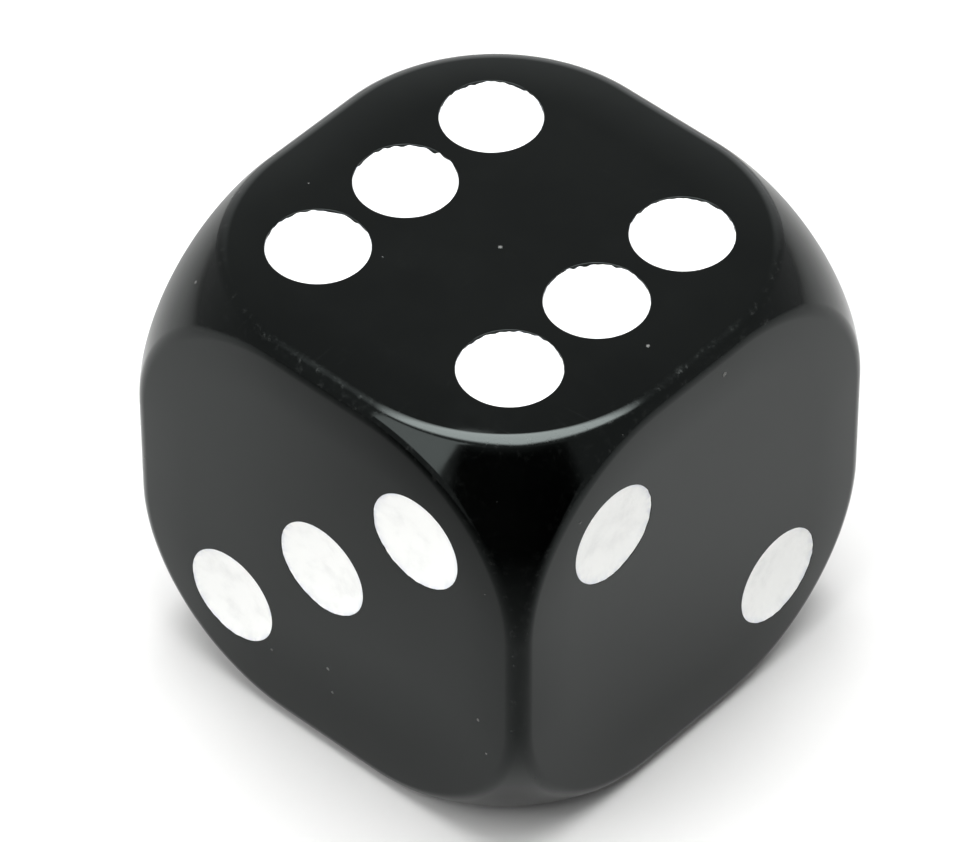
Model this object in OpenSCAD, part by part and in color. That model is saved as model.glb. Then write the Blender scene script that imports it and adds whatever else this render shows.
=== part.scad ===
// Six-sided gaming die: a solid block with ball-rounded corners, softened edges
// and a round, dished recess for every pip, each filled with its own film of paint.
// Frame: +Z up, origin at the middle of the face that the die rests on.
// The six is on top, the three faces -Y (front) and the two faces +X (right),
// and opposite faces add up to seven.

/* [Block] */
// Distance across opposite faces
die_edge = 16; // [13:0.5:20]
// Radius that softens the twelve edges
edge_round = 0.7; // [0.4:0.05:1.2]
// Distance from each face to the centre of the ball that rounds a corner
corner_inset = 6.4; // [5:0.1:6.4]
// Gap by which that ball clears the softened edges where its rounding begins
corner_clear = 0.09; // [0.05:0.01:0.3]

/* [Pip layout] */
// Distance from the edge of a face to the rim of its outer pips
pip_margin = 2.5; // [2.2:0.05:3]
// Land between neighbouring pips in a row of three
pip_gap = 0.55; // [0.3:0.05:0.9]

/* [Recess] */
// Depth of a recess at its middle
recess_depth = 0.55; // [0.45:0.05:0.9]
// Depth of the straight wall around its rim
recess_lip = 0.16; // [0.14:0.01:0.25]

/* [Paint] */
// Thickness of the paint at the middle of a recess
paint_mid = 0.27; // [0.15:0.01:0.35]
// Thickness of the paint where it meets the straight wall
paint_rim = 0.1; // [0.05:0.01:0.13]

/* [Hidden] */
$fn = 96;
half = die_edge / 2;

// Each pip's diameter is what three pips, two lands and two margins leave of a face.
pip_d = (die_edge - 2 * pip_margin - 2 * pip_gap) / 3;
pip_r = pip_d / 2;
pip_pitch = pip_d + pip_gap;

// A dish is a short arc of a large ball, so that ball needs more sides to hold its depth.
dish_sides = 288;

// The ball stands clear of the softened edge at the plane through its own centre.
ball_at = half - corner_inset;
ball_r = (corner_inset - edge_round) * sqrt(2) + edge_round + corner_clear;

// Cutters run past what they cut by this much.
over = 1;

// Radius of the ball that leaves a dish of this depth across a circle of radius r.
function dish_r(r, depth) = (r * r + depth * depth) / (2 * depth);

// The paint starts below the face and dips from its rim to the middle of the recess.
paint_drop = recess_lip - paint_rim;
paint_dip = recess_depth - paint_mid - paint_drop;
seat_r = dish_r(pip_r, recess_depth - recess_lip);
paint_r = dish_r(pip_r, paint_dip);

// The four pips at the corners of a face, as steps across and up it, with their names.
function corner_spots(low, high, near, far) = [
    [str(low, "_", near), -1, -1],
    [str(low, "_", far), 1, -1],
    [str(high, "_", near), -1, 1],
    [str(high, "_", far), 1, 1]
];

// Each face: its name, the turn that brings the top face to it, and its pips.
// After the turn, steps across run to the right of someone looking at the face.
FACES = [
    ["six", [0, 0, 0], concat(
        corner_spots("front", "back", "left", "right"),
        [["middle_left", -1, 0], ["middle_right", 1, 0]]
    )],
    ["five", [90, 0, 270], concat(
        corner_spots("lower", "upper", "back", "front"),
        [["centre", 0, 0]]
    )],
    ["four", [90, 0, 180], corner_spots("lower", "upper", "right", "left")],
    ["three", [90, 0, 0], [
        ["lower_left", -1, -1], ["centre", 0, 0], ["upper_right", 1, 1]
    ]],
    ["two", [90, 0, 90], [["upper_front", -1, 1], ["lower_back", 1, -1]]],
    ["one", [180, 0, 0], [["centre", 0, 0]]]
];

function pip_name(face, spot) = str("pip_", face[0], "_", spot[0]);

// A square bar with softened corners, along Z and longer than the die.
module soft_bar() {
    inner = half - edge_round;
    linear_extrude(height = die_edge + 2 * over, center = true) {
        square([die_edge, 2 * inner], center = true);
        square([2 * inner, die_edge], center = true);
        for (x = [-1, 1], y = [-1, 1])
            translate([x, y] * inner)
                circle(r = edge_round);
    }
}

// Where three such bars cross, a cube with softened edges is left.
module soft_cube() {
    intersection() {
        soft_bar();
        rotate([90, 0, 0]) soft_bar();
        rotate([0, 90, 0]) soft_bar();
    }
}

// What the ball-shaped mill takes away at one corner; signs holds -1 or 1 for each axis.
module corner_waste(signs) {
    side = corner_inset + over;
    translate(signs * ball_at)
        difference() {
            translate(signs * side / 2)
                cube(side, center = true);
            sphere(r = ball_r);
        }
}

// Moves a pip from the middle of the top face to its own place on its own face.
module at_spot(face, spot) {
    rotate(face[1])
        translate([spot[1] * pip_pitch, spot[2] * pip_pitch, half])
            children();
}

// A recess, as the solid that fills it: a straight wall that ends in a shallow bowl.
module recess() {
    intersection() {
        translate([0, 0, -recess_depth - over])
            cylinder(r = pip_r, h = recess_depth + 2 * over);
        translate([0, 0, seat_r - recess_depth])
            sphere(r = seat_r, $fn = dish_sides);
    }
}

// The block: a soft-edged cube, less its eight corners and twenty-one recesses.
module die_body() {
    color("#17191a")
        translate([0, 0, half])
            difference() {
                soft_cube();
                for (x = [-1, 1], y = [-1, 1], z = [-1, 1])
                    corner_waste([x, y, z]);
                for (face = FACES)
                    for (spot = face[2])
                        at_spot(face, spot) recess();
            }
}

// The paint in one recess: it fills the bowl and dries to a shallow dish below the face.
module pip_paint(face, spot) {
    color("#f7f7f2")
        translate([0, 0, half])
            at_spot(face, spot)
                difference() {
                    recess();
                    translate([0, 0, paint_r - paint_drop - paint_dip])
                        sphere(r = paint_r, $fn = dish_sides);
                }
}

die_body();
for (face = FACES)
    for (spot = face[2])
        pip_paint(face, spot);
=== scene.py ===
import math

import bpy
import numpy as np
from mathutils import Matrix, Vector


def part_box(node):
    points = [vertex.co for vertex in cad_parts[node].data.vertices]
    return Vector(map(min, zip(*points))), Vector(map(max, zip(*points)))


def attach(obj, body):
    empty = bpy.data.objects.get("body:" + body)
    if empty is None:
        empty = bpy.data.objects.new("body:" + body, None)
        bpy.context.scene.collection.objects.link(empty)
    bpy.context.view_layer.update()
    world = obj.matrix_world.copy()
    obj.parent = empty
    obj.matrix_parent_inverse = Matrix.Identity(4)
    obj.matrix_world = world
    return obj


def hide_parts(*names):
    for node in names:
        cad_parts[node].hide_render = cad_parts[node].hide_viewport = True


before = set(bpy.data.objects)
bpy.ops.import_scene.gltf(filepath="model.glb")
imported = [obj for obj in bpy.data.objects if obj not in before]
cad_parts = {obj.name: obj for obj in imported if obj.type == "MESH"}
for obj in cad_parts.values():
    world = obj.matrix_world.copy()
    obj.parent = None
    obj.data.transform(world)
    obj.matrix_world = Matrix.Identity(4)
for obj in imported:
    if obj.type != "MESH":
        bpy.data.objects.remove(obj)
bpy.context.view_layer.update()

# Lengths below are in millimetres, and are turned into metres where they go into Blender.
mm = 0.001
scene = bpy.context.scene


def unit(vectors):
    return vectors / np.linalg.norm(vectors, axis=-1, keepdims=True)


def gridQuads(rows, cols, wrap):
    # corner numbers of every quad of a grid of rows by cols points; wrap joins the last column to the first
    row, col = np.meshgrid(np.arange(rows - 1), np.arange(cols if wrap else cols - 1), indexing="ij")
    right = (col + 1) % cols
    start, above = row * cols, (row + 1) * cols
    return np.stack([start + col, start + right, above + right, above + col], -1)


def meshFromSheets(name, sheets):
    # Each sheet is a grid of points, their outward normals, whether the grid wraps round, and from 0 to 1
    # how worn each point is, or on a paint film how much painted rim shade it takes. Points that coincide
    # become one, so sheets that share an edge are joined there.
    points, normals, wear, quads, start = [], [], [], [], 0
    for place, normal, wrap, wearAndRimShade in sheets:
        rows, cols = place.shape[:2]
        points.append(place.reshape(-1, 3))
        normals.append(normal.reshape(-1, 3))
        wear.append(np.broadcast_to(wearAndRimShade, (rows, cols)).reshape(-1))
        quads.append(gridQuads(rows, cols, wrap).reshape(-1, 4) + start)
        start += rows * cols
    points, normals, wear, quads = map(np.concatenate, (points, normals, wear, quads))
    across = np.cross(points[quads[:, 2]] - points[quads[:, 0]], points[quads[:, 3]] - points[quads[:, 1]])
    inward = np.sum(across * normals[quads].sum(1), -1) < 0
    quads[inward] = quads[inward, ::-1]
    weld = 2e-4  # points closer than this become one
    _, kept, number = np.unique(np.round(points / weld), axis=0, return_index=True, return_inverse=True)
    quads = number.reshape(-1)[quads]
    fresh = quads != np.roll(quads, 1, axis=1)  # False where a corner repeats the one before it
    faces = [quad[keep].tolist() for quad, keep in zip(quads, fresh) if keep.sum() > 2]
    mesh = bpy.data.meshes.new(name)
    mesh.from_pydata((points[kept] * mm).tolist(), [], faces)
    mesh.attributes.new("wearAndRimShade", "FLOAT", "POINT").data.foreach_set("value", wear[kept].astype(np.float32))
    mesh.validate()
    mesh.shade_smooth()
    mesh.normals_split_custom_set_from_vertices(unit(normals[kept]).tolist())
    piece = bpy.data.objects.new(name, mesh)
    scene.collection.objects.link(piece)
    return piece


bodyLow, bodyHigh = (np.array(corner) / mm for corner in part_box("die_body"))
half = float((bodyHigh - bodyLow)[0]) / 2
middle = (bodyLow + bodyHigh) / 2

# each face: the two axes that run across it and its outward axis
faceAxes = {
    "six": ((1, 0, 0), (0, 1, 0), (0, 0, 1)),
    "one": ((1, 0, 0), (0, -1, 0), (0, 0, -1)),
    "three": ((1, 0, 0), (0, 0, 1), (0, -1, 0)),
    "four": ((-1, 0, 0), (0, 0, 1), (0, 1, 0)),
    "two": ((0, 1, 0), (0, 0, 1), (1, 0, 0)),
    "five": ((0, -1, 0), (0, 0, 1), (-1, 0, 0)),
}
faceAxes = {name: np.array(axes, float) for name, axes in faceAxes.items()}


def readPip(node):
    # a pip's face, its place there, its radius, and the depth of its recess
    low, high = (np.array(corner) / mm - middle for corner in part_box(node))
    face = node.split("_")[1]
    ends = np.stack([low, high]) @ faceAxes[face].T
    return {
        "node": node,
        "face": face,
        "place": ends[:, :2].mean(0),
        "radius": abs(ends[1, 0] - ends[0, 0]) / 2,
        "depth": half - ends[:, 2].min(),
    }


pips = [readPip(node) for node in sorted(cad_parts) if node.startswith("pip_")]
pitch = max(abs(pip["place"]).max() for pip in pips)
print("frame:", len(pips), "pips on", len(faceAxes), "faces, pitch", round(pitch, 3), "mm")


block = {
    "ballInset": 6.176,    # from each face to the centre of the ball that rounds a corner
    "ballRadius": 8.4,
    "droopWidth": 1.7,     # polishing also lets the rim of each face fall away over this width
    "droopTilt": 3.3,      # to this slope in degrees
    "rimSoften": 0.02,     # radius polished onto the rim of a recess
    "rimGrow": {"six": -0.045, "one": -0.03},  # added to the radius of the recesses, by face
    "rimGrowElse": 0.025,                      # and on the other faces
    "lip": 0.16,           # straight wall of a recess
    "cellSteps": 22,       # grid steps across one third of a face
    "creaseSteps": 9,
    "ballSteps": 9,
    "landSteps": 6,
    "rimSteps": 5,
    "bowlSteps": 6,
    "wearEnd": 1.25,       # the wear along a crease ends at this multiple of the crease's own turn
}
core = half - block["ballInset"]


def outline(side, along):
    # A square with round corners, followed as side 0 to 3 and along -1 to 1: the middle third of a side is
    # straight, and each outer third turns through an eighth of a circle. Gives the point of the core square
    # that the outline is measured from, the way out from there, and the turn in radians.
    turn = np.sign(along) * np.clip((np.abs(along) - 1 / 3) * 1.5, 0, 1) * math.pi / 4
    base = np.stack([np.full_like(along, core), np.clip(3 * along, -1, 1) * core], -1)
    out = np.stack([np.cos(turn), np.sin(turn)], -1)
    quarter = side * math.pi / 2
    spin = np.stack([np.cos(quarter), np.sin(quarter), -np.sin(quarter), np.cos(quarter)], -1)
    spin = spin.reshape(spin.shape[:-1] + (2, 2))
    return np.einsum("...i,...ij->...j", base, spin), np.einsum("...i,...ij->...j", out, spin), turn


# The crease is an arc that leaves the drooped rim of the face and meets the ball from inside. Its radius is
# the one that lets it reach 45 degrees, and the crease of the next face, just where it meets the ball. Its
# centre is the ball's radius less its own away from the core.
droopTilt = math.radians(block["droopTilt"])
droopFall = math.tan(droopTilt) * block["droopWidth"] / 2
ballTilt = math.pi / 4
soften = half - core - droopFall - block["ballRadius"] * math.cos(ballTilt)
soften /= math.cos(droopTilt) - math.cos(ballTilt)
creaseHeight = creaseReach = (block["ballRadius"] - soften) * math.cos(ballTilt)
flatReach = creaseReach + soften * math.sin(droopTilt)


def droop(place, normal):
    # The face falls away as the square of the distance past a line, droopWidth inside the crease.
    base = np.clip(place[..., :2], -core, core)
    out = place[..., :2] - base
    far = np.linalg.norm(out, axis=-1)
    past = np.clip(far - flatReach + block["droopWidth"], 0, None) / block["droopWidth"]
    place, normal = place.copy(), normal.copy()
    place[..., 2] -= droopFall * past ** 2
    slope = math.tan(droopTilt) * past * normal[..., 2] / np.maximum(far, 1e-9)
    normal[..., :2] += out * slope[..., None]
    return place, normal


def faceRim():
    # The stretch from a face's flat to its neighbours: the crease, then an arc of the ball up to the plane
    # that halves the angle between two faces, where the tilt's tangent is one over the cosine of the turn.
    steps = 3 * block["cellSteps"]
    along = np.tile(np.arange(steps) / steps * 2 - 1, 4)
    base, out, turn = outline(np.repeat(np.arange(4), steps), along)
    crease = np.linspace(droopTilt, ballTilt, block["creaseSteps"] + 1)[:, None] + 0 * turn
    share = np.linspace(0, 1, block["ballSteps"] + 1)[1:, None]
    ball = ballTilt + share * (np.arctan(1 / np.cos(turn)) - ballTilt)
    reach = np.concatenate([creaseReach + soften * np.sin(crease), block["ballRadius"] * np.sin(ball)])
    height = np.concatenate([creaseHeight + soften * np.cos(crease), block["ballRadius"] * np.cos(ball)])
    tilt = np.concatenate([crease, ball])
    place = np.concatenate([base + out * reach[..., None], core + height[..., None]], -1)
    normal = np.concatenate([out * np.sin(tilt)[..., None], np.cos(tilt)[..., None]], -1)
    share = np.clip((tilt - droopTilt) / (ballTilt - droopTilt), 0, block["wearEnd"])
    wearAndRimShade = np.sin(share * math.pi / block["wearEnd"])
    return place, normal, True, wearAndRimShade


def faceLine(a, b):
    # A point of the flat for a and b from -1 to 1. Out to a third it lies on a square one pip pitch wide.
    # Past that it runs along straight spokes, and at 1 it is on the outline.
    inner = pitch / 2
    most = np.maximum(np.abs(a), np.abs(b))
    share = np.clip((most - 1 / 3) * 1.5, 0, 1)
    aLong = np.abs(a) >= np.abs(b)
    longPart = np.where(aLong, np.sign(a), np.sign(b)) * (inner + (core + flatReach - inner) * share)
    shortPart = np.where(aLong, np.sign(b), np.sign(a)) * (inner + (core - inner) * share)
    spoke = np.stack([np.where(aLong, longPart, shortPart), np.where(aLong, shortPart, longPart)], -1)
    side = np.where(aLong, np.where(a > 0, 0, 2), np.where(b > 0, 1, 3))
    along = np.where(aLong, np.where(a > 0, b, -b), np.where(b > 0, -a, a))
    base, out, _ = outline(side, along)
    place = np.where((most > 1 / 3 + 1e-9)[..., None], spoke, np.stack([a, b], -1) * 3 * inner)
    return np.where((most > 1 - 1e-9)[..., None], base + out * flatReach, place)


def cellEdges(column, row):
    # the four edges of one of a face's nine cells, each from low to high
    t = np.linspace(0, 1, block["cellSteps"] + 1)
    aLow, bLow = column * 2 / 3 - 1 / 3, row * 2 / 3 - 1 / 3
    a, b = aLow + t * 2 / 3, bLow + t * 2 / 3
    low, high = faceLine(a, bLow + 0 * t), faceLine(a, bLow + 2 / 3 + 0 * t)
    left, right = faceLine(aLow + 0 * t, b), faceLine(aLow + 2 / 3 + 0 * t, b)
    return low, high, left, right


def raise3d(plan, height):
    return np.concatenate([plan, np.broadcast_to(height, plan.shape[:-1])[..., None]], -1)


def plainCell(column, row):
    # a cell with no pip: each point is shared out between the cell's four edges
    low, high, left, right = cellEdges(column, row)
    t = np.linspace(0, 1, block["cellSteps"] + 1)
    s, v = t[None, :, None], t[:, None, None]
    plan = (1 - v) * low[None] + v * high[None] + (1 - s) * left[:, None] + s * right[:, None]
    plan -= (1 - s) * (1 - v) * low[0] + s * (1 - v) * low[-1] + (1 - s) * v * high[0] + s * v * high[-1]
    return *droop(raise3d(plan, half), raise3d(0 * plan, 1)), False, 0


def wallRadius(pip):
    return pip["radius"] + block["rimGrow"].get(pip["face"], block["rimGrowElse"])


def dishRadius(radius, depth):  # radius of the ball that leaves a dish of this depth across a circle
    return (radius ** 2 + depth ** 2) / (2 * depth)


def bowlFall(pip, reach):  # how far below the face the bowl of a recess lies, at a distance from its middle
    seat = dishRadius(pip["radius"], pip["depth"] - block["lip"])
    return pip["depth"] - seat + np.sqrt(seat ** 2 - reach ** 2)


def pipCell(column, row, pip):
    # A cell with a recess: rings go from the cell's edge to a circle, over the polished rim, down the
    # straight wall and across the bowl.
    low, high, left, right = cellEdges(column, row)
    loop = np.concatenate([low[:-1], right[:-1], high[:0:-1], left[:0:-1]])
    angle = -0.75 * math.pi + 2 * math.pi * np.arange(len(loop)) / len(loop)
    ray = np.stack([np.cos(angle), np.sin(angle)], -1)
    soft, wall = block["rimSoften"], wallRadius(pip)
    land = np.linspace(1, 0, block["landSteps"] + 1)[:, None, None]
    bend = np.linspace(0, math.pi / 2, block["rimSteps"] + 1)[1:]
    bowl = np.linspace(1, 0, block["bowlSteps"] + 1) * wall
    reach = np.concatenate([wall + soft * (1 - np.sin(bend)), bowl])
    plan = pip["place"] + np.concatenate([land * (loop - pip["place"]) + (1 - land) * ray * (wall + soft),
                                          reach[:, None, None] * ray])
    level = 0 * land[:, 0, 0]
    bowlLean = np.arcsin(bowl / dishRadius(wall, pip["depth"] - block["lip"]))
    fall = np.concatenate([level, soft * (1 - np.cos(bend)), bowlFall(pip, bowl)])[:, None]
    lean = np.concatenate([level, bend, bowlLean])
    wearAndRimShade = np.concatenate([level, np.sin(2 * bend), 0 * bowl])[:, None]
    normal = raise3d(-ray * np.sin(lean)[:, None, None], np.cos(lean)[:, None])
    return *droop(raise3d(plan, half - fall), normal), True, wearAndRimShade


def ontoFace(sheets, axes):  # turns sheets made on the top face to another one, about the block's middle
    return [(middle + place @ axes, normal @ axes, wrap, wearAndRimShade) for place, normal, wrap, wearAndRimShade in sheets]


def makeBlock():
    sheets = []
    for face, axes in faceAxes.items():
        taken = {}
        for pip in pips:
            if pip["face"] == face:
                column, row = np.round(pip["place"] / pitch).astype(int)
                taken[column, row] = pip
        patches = [faceRim()]
        for column in (-1, 0, 1):
            for row in (-1, 0, 1):
                pip = taken.get((column, row))
                patches.append(pipCell(column, row, pip) if pip else plainCell(column, row))
        sheets += ontoFace(patches, axes)
    return meshFromSheets("dieBlock", sheets)


dieBlock = makeBlock()
print("block:", len(dieBlock.data.polygons), "faces")


paint = {
    "gap": 0.004,         # keeps a film just off the block
    "sag": 0.2,           # how far the middle dries below the edge
    "curl": 0.03,         # how far the edge climbs where it touches the wall
    "curlWidth": 0.14,
    "edgeDrop": {"six": 0.065, "one": 0.05},  # how far below the face the edge lies, on faces wiped hard
    "edgeDropElse": 0.012,                    # and on the others
    "edgeWander": 0.55,   # unevenness of the edge, as a share of that drop
    "mostWaves": 40,      # the edge wanders in waves, from 2 round it to one fewer than this
    "waveFade": 0.4,      # power by which a wave shrinks as their number grows
    "dropSpread": 0.1,    # how much the drop varies from film to film, as a share of it
    "edgeLimits": (0.005, 0.15),  # least and most that the edge lies below the face
    "rimShadeTint": 16,       # power that keeps the thin blue-grey edge, painted rim shade and colour fringe and partly the paint's own thin edge, to the rim of the film
    "ringCrowd": 0.75,    # power that crowds the rings of the top towards its rim
    "spokes": 144,
    "topRings": 14,
    "bowlRings": 6,
    "seed": 21,
}


def makePaint(pip, number):
    # The film's top, for a share s of the way out and a turn w, is a dish: sag times (1 - s squared) below
    # its edge, less a curl that rises towards the wall. The edge wanders up and down the wall as a sum of
    # waves in w. Its foot follows the bowl of the recess.
    dice = np.random.default_rng(paint["seed"] + number)
    turn = 2 * math.pi * np.arange(paint["spokes"]) / paint["spokes"]
    waves = 0
    for k in range(2, paint["mostWaves"]):
        waves += dice.normal() * np.cos(k * turn + dice.uniform(0, 2 * math.pi)) / k ** paint["waveFade"]
    drop = paint["edgeDrop"].get(pip["face"], paint["edgeDropElse"])
    drop *= 1 + paint["dropSpread"] * dice.normal()
    edge = np.clip(drop * (1 + paint["edgeWander"] * waves / 2), *paint["edgeLimits"])
    soft, wall = block["rimSoften"], wallRadius(pip)
    ridge = np.clip(1 - edge / soft, 0, 1)
    rim = wall + soft * (1 - np.sqrt(1 - ridge ** 2)) - paint["gap"]
    share = np.linspace(0, 1, paint["topRings"] + 1)[:, None] ** paint["ringCrowd"]
    curl = np.exp((share - 1) * wall / paint["curlWidth"])
    level = drop + (edge - drop) * curl
    top = level + paint["sag"] * (1 - share ** 2) + paint["curl"] * (1 - curl)
    low = np.linspace(1, 0, paint["bowlRings"] + 1)[:, None]
    under = bowlFall(pip, low * (wall - paint["gap"])) - paint["gap"] + 0 * turn
    ray = np.stack([np.cos(turn), np.sin(turn)], -1)
    sheets = []
    for reach, fall, out in ((share * rim, top, 1), (low * (wall - paint["gap"]) + 0 * turn, under, -1)):
        slope = np.gradient(fall, axis=0) / np.gradient(reach, axis=0)
        place = raise3d(pip["place"] + reach[..., None] * ray, half - fall)
        normal = raise3d(out * slope[..., None] * ray, out)
        # the top's rim, and the wall below, take the painted blue-grey rim shade
        sheets.append((*droop(place, normal), True, share ** paint["rimShadeTint"] if out > 0 else 0))
    wallSheet = np.stack([sheets[0][0][-1], sheets[1][0][0]])
    sheets.append((wallSheet, np.broadcast_to(raise3d(ray, 0), wallSheet.shape), True, 1))
    sheets = ontoFace(sheets, faceAxes[pip["face"]])
    return meshFromSheets(pip["node"].replace("pip_", "paint_"), sheets)


paintFilms = [(makePaint(pip, number), pip["node"]) for number, pip in enumerate(pips)]
print("paint:", len(paintFilms), "films")


def addMath(tree, operation, *values):
    node = tree.nodes.new("ShaderNodeMath")
    node.operation = operation
    for socket, value in zip(node.inputs, values):
        if isinstance(value, (int, float)):
            socket.default_value = value
        else:
            tree.links.new(value, socket)
    return node.outputs[0]


def addNoise(tree, vector, size, detail=2.0, roughness=0.5):  # a noise whose lumps are about size mm across
    node = tree.nodes.new("ShaderNodeTexNoise")
    node.inputs["Scale"].default_value = 1 / (size * mm)
    node.inputs["Detail"].default_value = detail
    node.inputs["Roughness"].default_value = roughness
    tree.links.new(vector, node.inputs["Vector"])
    return node.outputs["Fac"]


def addRange(tree, value, low, high, lowOut=0.0, highOut=1.0):
    node = tree.nodes.new("ShaderNodeMapRange")
    node.interpolation_type = "SMOOTHSTEP"
    sockets = ("From Min", "From Max", "To Min", "To Max")
    for socket, number in zip(sockets, (low, high, lowOut, highOut)):
        if isinstance(number, (int, float)):
            node.inputs[socket].default_value = number
        else:
            tree.links.new(number, node.inputs[socket])
    tree.links.new(value, node.inputs["Value"])
    return node.outputs["Result"]


def newGroup(name, inputs, outputs):
    tree = bpy.data.node_groups.new(name, "ShaderNodeTree")
    for label, kind, default in inputs:
        socket = tree.interface.new_socket(label, in_out="INPUT", socket_type=kind)
        if default is not None:
            socket.default_value = default
    for label in outputs:
        tree.interface.new_socket(label, in_out="OUTPUT", socket_type="NodeSocketFloat")
    return tree, tree.nodes.new("NodeGroupInput").outputs, tree.nodes.new("NodeGroupOutput").inputs


scratch = {
    "sets": (((0.5, 0.3, 0.6), (900, 90, 90)),   # how each set is turned, in radians,
             ((1.1, 2.2, 0.2), (90, 700, 90))),  # and how finely it is packed along each axis
    "scale": 3.0,
    "patchSize": 3.5,
    "patchRange": (0.45, 0.65),
}


def scratchGroup():
    # Scratches: noise drawn out along two directions, kept only where it crosses its middle value.
    tree, given, wanted = newGroup("fineScratches", [
        ("Vector", "NodeSocketVector", None),
        ("Width", "NodeSocketFloat", 0.02),
        ("Amount", "NodeSocketFloat", 0.5),
    ], ["Mask"])
    lines = []
    for angles, stretch in scratch["sets"]:
        turnIt = tree.nodes.new("ShaderNodeMapping")
        turnIt.inputs["Rotation"].default_value = angles
        turnIt.inputs["Scale"].default_value = stretch
        tree.links.new(given["Vector"], turnIt.inputs["Vector"])
        noise = tree.nodes.new("ShaderNodeTexNoise")
        noise.inputs["Scale"].default_value = scratch["scale"]
        noise.inputs["Detail"].default_value = 1.0
        tree.links.new(turnIt.outputs[0], noise.inputs["Vector"])
        off = addMath(tree, "ABSOLUTE", addMath(tree, "SUBTRACT", noise.outputs["Fac"], 0.5))
        lines.append(addRange(tree, off, 0.0, given["Width"], 1.0, 0.0))
    patchy = addRange(tree, addNoise(tree, given["Vector"], scratch["patchSize"]), *scratch["patchRange"])
    mask = addMath(tree, "MULTIPLY", addMath(tree, "MAXIMUM", *lines), patchy)
    tree.links.new(addMath(tree, "MULTIPLY", mask, given["Amount"]), wanted["Mask"])
    return tree


dustShape = {
    "solid": 0.6,       # share of a speck's radius inside which it is solid
    "wobble": 0.06,     # how ragged its outline is, in spacings
    "wobbleSize": 0.08,  # in mm
}


def dustGroup():
    # Dust: small balls at the points of a cell pattern, of which a share is kept, so few touch the surface.
    tree, given, wanted = newGroup("dustSpecks", [
        ("Vector", "NodeSocketVector", None),
        ("Radius", "NodeSocketFloat", 0.05),
        ("Spacing", "NodeSocketFloat", 1.3),
        ("Share", "NodeSocketFloat", 0.5),
    ], ["Mask"])
    cells = tree.nodes.new("ShaderNodeTexVoronoi")
    cells.inputs["Scale"].default_value = 1.0
    scale = addMath(tree, "DIVIDE", 1 / mm, given["Spacing"])
    spread = tree.nodes.new("ShaderNodeVectorMath")
    spread.operation = "SCALE"
    tree.links.new(given["Vector"], spread.inputs[0])
    tree.links.new(scale, spread.inputs["Scale"])
    wobble = tree.nodes.new("ShaderNodeVectorMath")
    wobble.operation = "MULTIPLY_ADD"
    noise = tree.nodes.new("ShaderNodeTexNoise")
    noise.inputs["Scale"].default_value = 1 / (dustShape["wobbleSize"] * mm)
    tree.links.new(given["Vector"], noise.inputs["Vector"])
    tree.links.new(noise.outputs["Color"], wobble.inputs[0])
    wobble.inputs[1].default_value = (dustShape["wobble"],) * 3
    tree.links.new(spread.outputs[0], wobble.inputs[2])
    tree.links.new(wobble.outputs[0], cells.inputs["Vector"])
    split = tree.nodes.new("ShaderNodeSeparateColor")
    tree.links.new(cells.outputs["Color"], split.inputs[0])
    reach = addMath(tree, "DIVIDE", given["Radius"], given["Spacing"])
    reach = addMath(tree, "MULTIPLY", reach, split.outputs[1])
    inner = addMath(tree, "MULTIPLY", reach, dustShape["solid"])
    speck = addRange(tree, cells.outputs["Distance"], inner, reach, 1.0, 0.0)
    chosen = addMath(tree, "LESS_THAN", split.outputs[0], given["Share"])
    tree.links.new(addMath(tree, "MULTIPLY", speck, chosen), wanted["Mask"])
    return tree


scratchTree, dustTree = scratchGroup(), dustGroup()


def placeGroup(tree, group, vector, **values):
    node = tree.nodes.new("ShaderNodeGroup")
    node.node_tree = group
    tree.links.new(vector, node.inputs["Vector"])
    for label, value in values.items():
        node.inputs[label].default_value = value
    return node.outputs["Mask"]


def mixColours(tree, factor, first, second):
    node = tree.nodes.new("ShaderNodeMix")
    node.data_type = "RGBA"
    tree.links.new(factor, node.inputs["Factor"])
    for socket, colour in ((node.inputs["A"], first), (node.inputs["B"], second)):
        if isinstance(colour, tuple):
            socket.default_value = colour + (1,)
        else:
            tree.links.new(colour, socket)
    return node.outputs["Result"]


def addBump(tree, height, distance, normal=None):  # height from 0 to 1 stands for distance in mm
    node = tree.nodes.new("ShaderNodeBump")
    node.inputs["Distance"].default_value = distance * mm
    tree.links.new(height, node.inputs["Height"])
    if normal:
        tree.links.new(normal, node.inputs["Normal"])
    return node.outputs["Normal"]


def newMaterial(name):
    material = bpy.data.materials.new(name)
    material.use_nodes = True
    tree = material.node_tree
    where = tree.nodes.new("ShaderNodeTexCoord").outputs["Object"]
    wearAndRimShade = tree.nodes.new("ShaderNodeAttribute")
    wearAndRimShade.attribute_name = "wearAndRimShade"
    return material, tree, tree.nodes["Principled BSDF"], where, wearAndRimShade.outputs["Fac"]


blackLook = {
    "colour": (0.0007, 0.0009, 0.0008),
    "cloudColour": (0.002, 0.0023, 0.0021),
    "scuffColour": (0.014, 0.0145, 0.014),
    "dustColour": (0.16, 0.16, 0.155),
    "gloss": 0.045,        # roughness of the clean polish
    "smear": 0.05,         # added where handled
    "handled": 0.09,       # added along the creases, which are handled most
    "scuff": 0.16,         # added in the scuffs on them
    "scratch": 0.12,       # added in the scratches
    "dustRough": 0.9,      # roughness of a dust speck
    "shine": 0.31,         # strength of the mirror, where 0.5 is that of the index of refraction
    "shineTint": (0.9, 1.0, 0.98),
    "cloudSize": 3.0,
    "cloudRange": (0.35, 0.7),  # each range is the part of the noise over which the effect comes in
    "scuffSize": 0.22,
    "scuffRange": (0.52, 0.72),
    "smearSize": 1.6,
    "smearRange": (0.42, 0.72),
    "scratchWidth": 0.008,      # in the noise's own values
    "scratchAmount": 0.6,
    "dustRadius": 0.11,
    "dustSpacing": 1.25,
    "dustShare": 0.4,
    "dustHeight": 0.02,
    "scratchDepth": 0.02,       # as a share of dustHeight
    "peelSize": 2.4,
    "peelHeight": 0.003,
    "grainSize": 0.12,
    "grainHeight": 0.00006,
}


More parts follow.
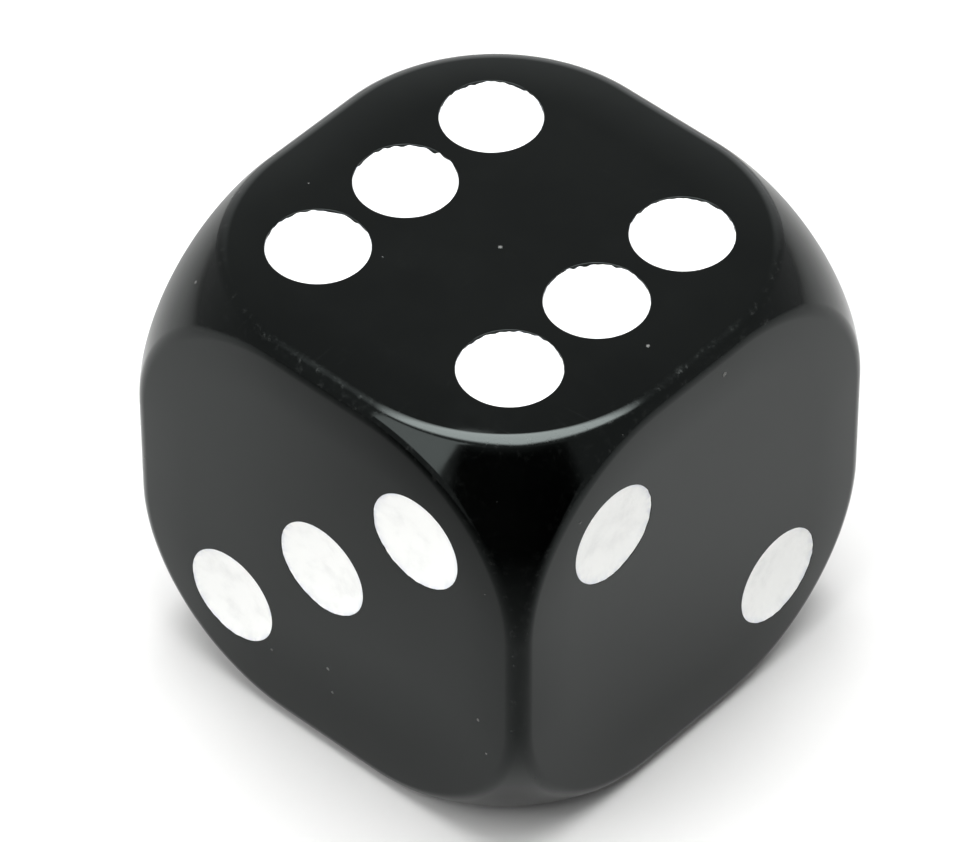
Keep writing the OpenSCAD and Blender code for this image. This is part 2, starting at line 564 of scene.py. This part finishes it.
def blackPlastic():
    material, tree, shader, where, wearAndRimShade = newMaterial("polishedBlack")
    look = blackLook
    clouds = addRange(tree, addNoise(tree, where, look["cloudSize"], 3.0), *look["cloudRange"])
    scuffs = addRange(tree, addNoise(tree, where, look["scuffSize"], 4.0, 0.65), *look["scuffRange"])
    wear = addMath(tree, "MULTIPLY", addMath(tree, "POWER", wearAndRimShade, 2.0), scuffs)
    smears = addRange(tree, addNoise(tree, where, look["smearSize"], 4.0, 0.6), *look["smearRange"])
    scratches = placeGroup(tree, scratchTree, where,
                           Width=look["scratchWidth"], Amount=look["scratchAmount"])
    dust = placeGroup(tree, dustTree, where,
                      Radius=look["dustRadius"], Spacing=look["dustSpacing"], Share=look["dustShare"])
    colour = mixColours(tree, clouds, look["colour"], look["cloudColour"])
    colour = mixColours(tree, wear, colour, look["scuffColour"])
    colour = mixColours(tree, dust, colour, look["dustColour"])
    tree.links.new(colour, shader.inputs["Base Color"])
    rough = addMath(tree, "MULTIPLY_ADD", smears, look["smear"], look["gloss"])
    rough = addMath(tree, "MULTIPLY_ADD", wearAndRimShade, look["handled"], rough)
    rough = addMath(tree, "MULTIPLY_ADD", wear, look["scuff"], rough)
    rough = addMath(tree, "MULTIPLY_ADD", scratches, look["scratch"], rough)
    rough = addMath(tree, "MAXIMUM", rough, addMath(tree, "MULTIPLY", dust, look["dustRough"]))
    tree.links.new(rough, shader.inputs["Roughness"])
    peel = addBump(tree, addNoise(tree, where, look["peelSize"]), look["peelHeight"])
    grain = addBump(tree, addNoise(tree, where, look["grainSize"], 3.0), look["grainHeight"], peel)
    relief = addMath(tree, "SUBTRACT", dust, addMath(tree, "MULTIPLY", scratches, look["scratchDepth"]))
    tree.links.new(addBump(tree, relief, look["dustHeight"], grain), shader.inputs["Normal"])
    shader.inputs["IOR"].default_value = 1.5
    shader.inputs["Specular IOR Level"].default_value = look["shine"]
    shader.inputs["Specular Tint"].default_value = look["shineTint"] + (1,)
    return material


whiteLook = {
    "colour": (0.88, 0.885, 0.87),
    "mottleColour": (0.79, 0.795, 0.785),
    # painted shade and colour fringe round the rim of each film, partly the paint's own thin edge
    "rimShadeColour": (0.7, 0.72, 0.76),
    "dustColour": (0.3, 0.3, 0.28),
    "gloss": 0.34,
    "mottleSize": 0.9,
    "mottleRange": (0.45, 0.8),
    "rimShadeSize": 0.3,
    "rimShadeRange": (0.35, 0.6),
    "dustRadius": 0.06,
    "dustSpacing": 0.9,
    "dustShare": 0.3,
    "grainSize": 0.09,
    "grainRough": 0.25,    # roughness that the grain adds
    "grainHeight": 0.0035,
    "lumpSize": 0.5,
    "lumpHeight": 0.02,
}


def whiteEnamel():
    material, tree, shader, where, wearAndRimShade = newMaterial("whiteEnamel")
    look = whiteLook
    mottle = addRange(tree, addNoise(tree, where, look["mottleSize"], 4.0, 0.6), *look["mottleRange"])
    grain = addNoise(tree, where, look["grainSize"], 3.0, 0.6)
    # painted blue-grey shade round the rim of each film, partly the paint's own thin edge, in patches
    patches = addRange(tree, addNoise(tree, where, look["rimShadeSize"]), *look["rimShadeRange"])
    edge = addMath(tree, "MULTIPLY", wearAndRimShade, patches)
    dust = placeGroup(tree, dustTree, where,
                      Radius=look["dustRadius"], Spacing=look["dustSpacing"], Share=look["dustShare"])
    colour = mixColours(tree, mottle, look["colour"], look["mottleColour"])
    colour = mixColours(tree, edge, colour, look["rimShadeColour"])
    colour = mixColours(tree, dust, colour, look["dustColour"])
    tree.links.new(colour, shader.inputs["Base Color"])
    rough = addMath(tree, "MULTIPLY_ADD", grain, look["grainRough"], look["gloss"])
    tree.links.new(rough, shader.inputs["Roughness"])
    lumps = addBump(tree, addNoise(tree, where, look["lumpSize"]), look["lumpHeight"])
    tree.links.new(addBump(tree, grain, look["grainHeight"], lumps), shader.inputs["Normal"])
    shader.inputs["IOR"].default_value = 1.48
    return material


polishedBlack, enamel = blackPlastic(), whiteEnamel()
dieBlock.data.materials.append(polishedBlack)
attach(dieBlock, "root")
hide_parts("die_body")
for film, node in paintFilms:
    film.data.materials.append(enamel)
    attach(film, "root")
    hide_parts(node)
print("materials: polished black plastic, white enamel")


studio = {
    "floorSize": 900,
    "floorDrop": 0.01,        # keeps the paper just clear of the die
    "paperColour": (0.8, 0.8, 0.795),
    "lampHeight": 260,        # of the overhead softbox, above the middle of the die
    "lampSpan": (-27.5, 28),  # how far it reaches to the left and right of straight up, in degrees
    "lampDepth": (-23, 28),   # the same, to the front and back
    "lampSoft": 6,            # how far its soft edge reaches in from there, in degrees
    "lampLayers": 4,          # lamps that step in over that edge
    "lampShine": 11,          # its brightness as the polished block shows it, where white paper is about 1
    "lampLight": 3.8,         # its brightness as it lights paint and paper
    "frontAzimuth": -8,       # of the softbox in front on the left
    "frontElevation": 43,
    "frontSize": (128, 105),
    "frontAway": 200,
    "frontShine": 3.1,        # its brightness as the polished block shows it
    "frontLight": 2.5,        # its brightness as it lights paint and paper
    "roomLight": 0.54,        # brightness of the room on every side
    "backLight": 1.2,         # what a pale wall behind on the left adds
    "backAzimuth": -140,
    "backReach": 30,          # how far it reaches to either side of that
    "backBlur": 15,
    "backTop": 35,
    "backTopBlur": 12,
    "darkFrom": 17.5,         # azimuths between which the room in front is unlit
    "darkTo": 77,
    "darkTop": 44,            # elevation up to which it is unlit
    "darkBlur": 3,
    "poolRadius": 12,         # painted shade: the paper in front, as the block mirrors it, shines less and less past this distance
    "poolAzimuth": 25,
    "poolFacing": (0.39, 0.78),  # cosine of the angle from there where dimming starts, and where it is full
}


def areaLamp(name, place, target, width, height, brightness):
    # a flat lamp's power is its brightness times its area times pi
    data = bpy.data.lights.new(name, "AREA")
    data.shape = "RECTANGLE"
    data.size, data.size_y = width * mm, height * mm
    data.energy = brightness * math.pi * width * height * mm * mm
    lamp = bpy.data.objects.new(name, data)
    lamp.location = Vector(place) * mm
    lamp.rotation_euler = (Vector(place) - Vector(target)).to_track_quat("Z", "Y").to_euler()
    scene.collection.objects.link(lamp)
    return lamp


def direction(azimuth, elevation):  # azimuth 0 is the -Y side, and 90 the +X side
    a, e = math.radians(azimuth), math.radians(elevation)
    return Vector((math.sin(a) * math.cos(e), -math.cos(a) * math.cos(e), math.sin(e)))


centre = Vector(middle)


def overheadLamp(name, inset, brightness):
    # inset pulls its four sides in by that many degrees, and lifts it clear of the others
    high = studio["lampHeight"] + inset
    sides = [high * math.tan(math.radians(angle)) for angle in (
        studio["lampSpan"][0] + inset, studio["lampSpan"][1] - inset,
        studio["lampDepth"][0] + inset, studio["lampDepth"][1] - inset)]
    above = centre + Vector(((sides[0] + sides[1]) / 2, (sides[2] + sides[3]) / 2, high))
    straightDown = above - Vector((0, 0, 1))
    return areaLamp(name, above, straightDown, sides[1] - sides[0], sides[3] - sides[2], brightness)


lamp = overheadLamp("overheadLight", studio["lampSoft"] / 2, studio["lampLight"])
lamp.visible_glossy = False
layers = studio["lampLayers"]
for layer in range(layers):
    inset = layer / (layers - 1) * studio["lampSoft"]
    lamp = overheadLamp("overheadShine", inset, studio["lampShine"] / layers)
    lamp.visible_diffuse = False
front = centre + direction(studio["frontAzimuth"], studio["frontElevation"]) * studio["frontAway"]
lamp = areaLamp("frontLight", front, centre, *studio["frontSize"], studio["frontLight"])
lamp.visible_glossy = False
front += direction(studio["frontAzimuth"], studio["frontElevation"])  # clear of the lamp before it
lamp = areaLamp("frontShine", front, centre, *studio["frontSize"], studio["frontShine"])
lamp.visible_diffuse = False


def flatSheet(name, height, material):  # a square of paper lying level
    mesh = bpy.data.meshes.new(name)
    corners = np.array([(-1, -1, 0), (1, -1, 0), (1, 1, 0), (-1, 1, 0)]) * studio["floorSize"]
    corners = corners + (0, 0, bodyLow[2] + height)
    mesh.from_pydata((corners * mm).tolist(), [], [(0, 1, 2, 3)])
    mesh.materials.append(material)
    sheet = bpy.data.objects.new(name, mesh)
    scene.collection.objects.link(sheet)
    return sheet


def palePaper():
    material = bpy.data.materials.new("palePaper")
    material.use_nodes = True
    shader = material.node_tree.nodes["Principled BSDF"]
    shader.inputs["Base Color"].default_value = studio["paperColour"] + (1,)
    shader.inputs["Roughness"].default_value = 0.9
    shader.inputs["Specular IOR Level"].default_value = 0.1
    return material


def poolEdge():
    # What the polished block sees of the paper in front of it: a pool of light that falls off with distance
    # past poolRadius. Painted shade: a black sheet, seen only in reflections, covers the rest, by one less
    # poolRadius over the distance.
    material = bpy.data.materials.new("poolEdge")
    material.use_nodes = True
    tree = material.node_tree
    shader = tree.nodes["Principled BSDF"]
    shader.inputs["Base Color"].default_value = (0, 0, 0, 1)
    shader.inputs["Specular IOR Level"].default_value = 0
    where = tree.nodes.new("ShaderNodeTexCoord").outputs["Object"]
    length = tree.nodes.new("ShaderNodeVectorMath")
    length.operation = "LENGTH"
    tree.links.new(where, length.inputs[0])
    ratio = addMath(tree, "DIVIDE", studio["poolRadius"] * mm, length.outputs["Value"])
    cover = addMath(tree, "SUBTRACT", 1, addMath(tree, "MINIMUM", ratio, 1))
    toFront = tree.nodes.new("ShaderNodeVectorMath")
    toFront.operation = "DOT_PRODUCT"
    tree.links.new(where, toFront.inputs[0])
    toFront.inputs[1].default_value = direction(studio["poolAzimuth"], 0)
    facing = addMath(tree, "DIVIDE", toFront.outputs["Value"], length.outputs["Value"])
    cover = addMath(tree, "MULTIPLY", cover, addRange(tree, facing, *studio["poolFacing"]))
    tree.links.new(cover, shader.inputs["Alpha"])
    return material


flatSheet("floor", -studio["floorDrop"], palePaper())
pool = flatSheet("poolEdge", 0, poolEdge())
# the black sheet of painted shade shows only in the block's reflections
pool.visible_camera = pool.visible_diffuse = pool.visible_shadow = False

world = bpy.data.worlds.new("room")
scene.world = world
world.use_nodes = True
tree = world.node_tree


def between(value, start, end, blur):  # 1 from start to end, 0 outside, with soft ends
    rise = addRange(tree, value, start - blur, start + blur)
    return addMath(tree, "MULTIPLY", rise, addRange(tree, value, end - blur, end + blur, 1.0, 0.0))


split = tree.nodes.new("ShaderNodeSeparateXYZ")
tree.links.new(tree.nodes.new("ShaderNodeTexCoord").outputs["Generated"], split.inputs[0])
x, y, z = split.outputs
belowAll = -100  # lower than any elevation
azimuth = addMath(tree, "DEGREES", addMath(tree, "ARCTAN2", x, addMath(tree, "MULTIPLY", y, -1)))
elevation = addMath(tree, "DEGREES", addMath(tree, "ARCSINE", z))
unlit = between(azimuth, studio["darkFrom"], studio["darkTo"], studio["darkBlur"])
unlit = addMath(tree, "MULTIPLY", unlit, between(elevation, belowAll, studio["darkTop"], studio["darkBlur"]))
wallStart, wallEnd = studio["backAzimuth"] - studio["backReach"], studio["backAzimuth"] + studio["backReach"]
wall = between(azimuth, wallStart, wallEnd, studio["backBlur"])
wall = addMath(tree, "MULTIPLY", wall,
               between(elevation, belowAll, studio["backTop"], studio["backTopBlur"]))
room = addMath(tree, "MULTIPLY_ADD", wall, studio["backLight"], studio["roomLight"])
room = addMath(tree, "MULTIPLY", room, addMath(tree, "SUBTRACT", 1, unlit))
tree.links.new(room, tree.nodes["Background"].inputs["Strength"])
tree.nodes["Background"].inputs["Color"].default_value = (1, 1, 1, 1)

view = {
    "azimuth": 42.14,
    "elevation": 45.14,
    "distance": 235.6,      # from the middle of the die
    "focal": 7.94,          # focal length in picture widths
    "right": 0.0158,        # how far the die's middle sits from the picture's, in picture widths
    "down": 0.0084,
}
cameraData = bpy.data.cameras.new("camera")
cameraData.lens = view["focal"] * cameraData.sensor_width
cameraData.shift_x, cameraData.shift_y = -view["right"], view["down"]
cameraData.clip_start, cameraData.clip_end = 0.01, 10
camera = bpy.data.objects.new("camera", cameraData)
back = direction(view["azimuth"], view["elevation"])
camera.location = (centre + back * view["distance"]) * mm
camera.rotation_euler = back.to_track_quat("Z", "Y").to_euler()
scene.collection.objects.link(camera)
scene.camera = camera
scene.view_settings.view_transform = "Standard"
scene.view_settings.look = "Medium High Contrast"
print("studio: floor, lamps, room and camera")
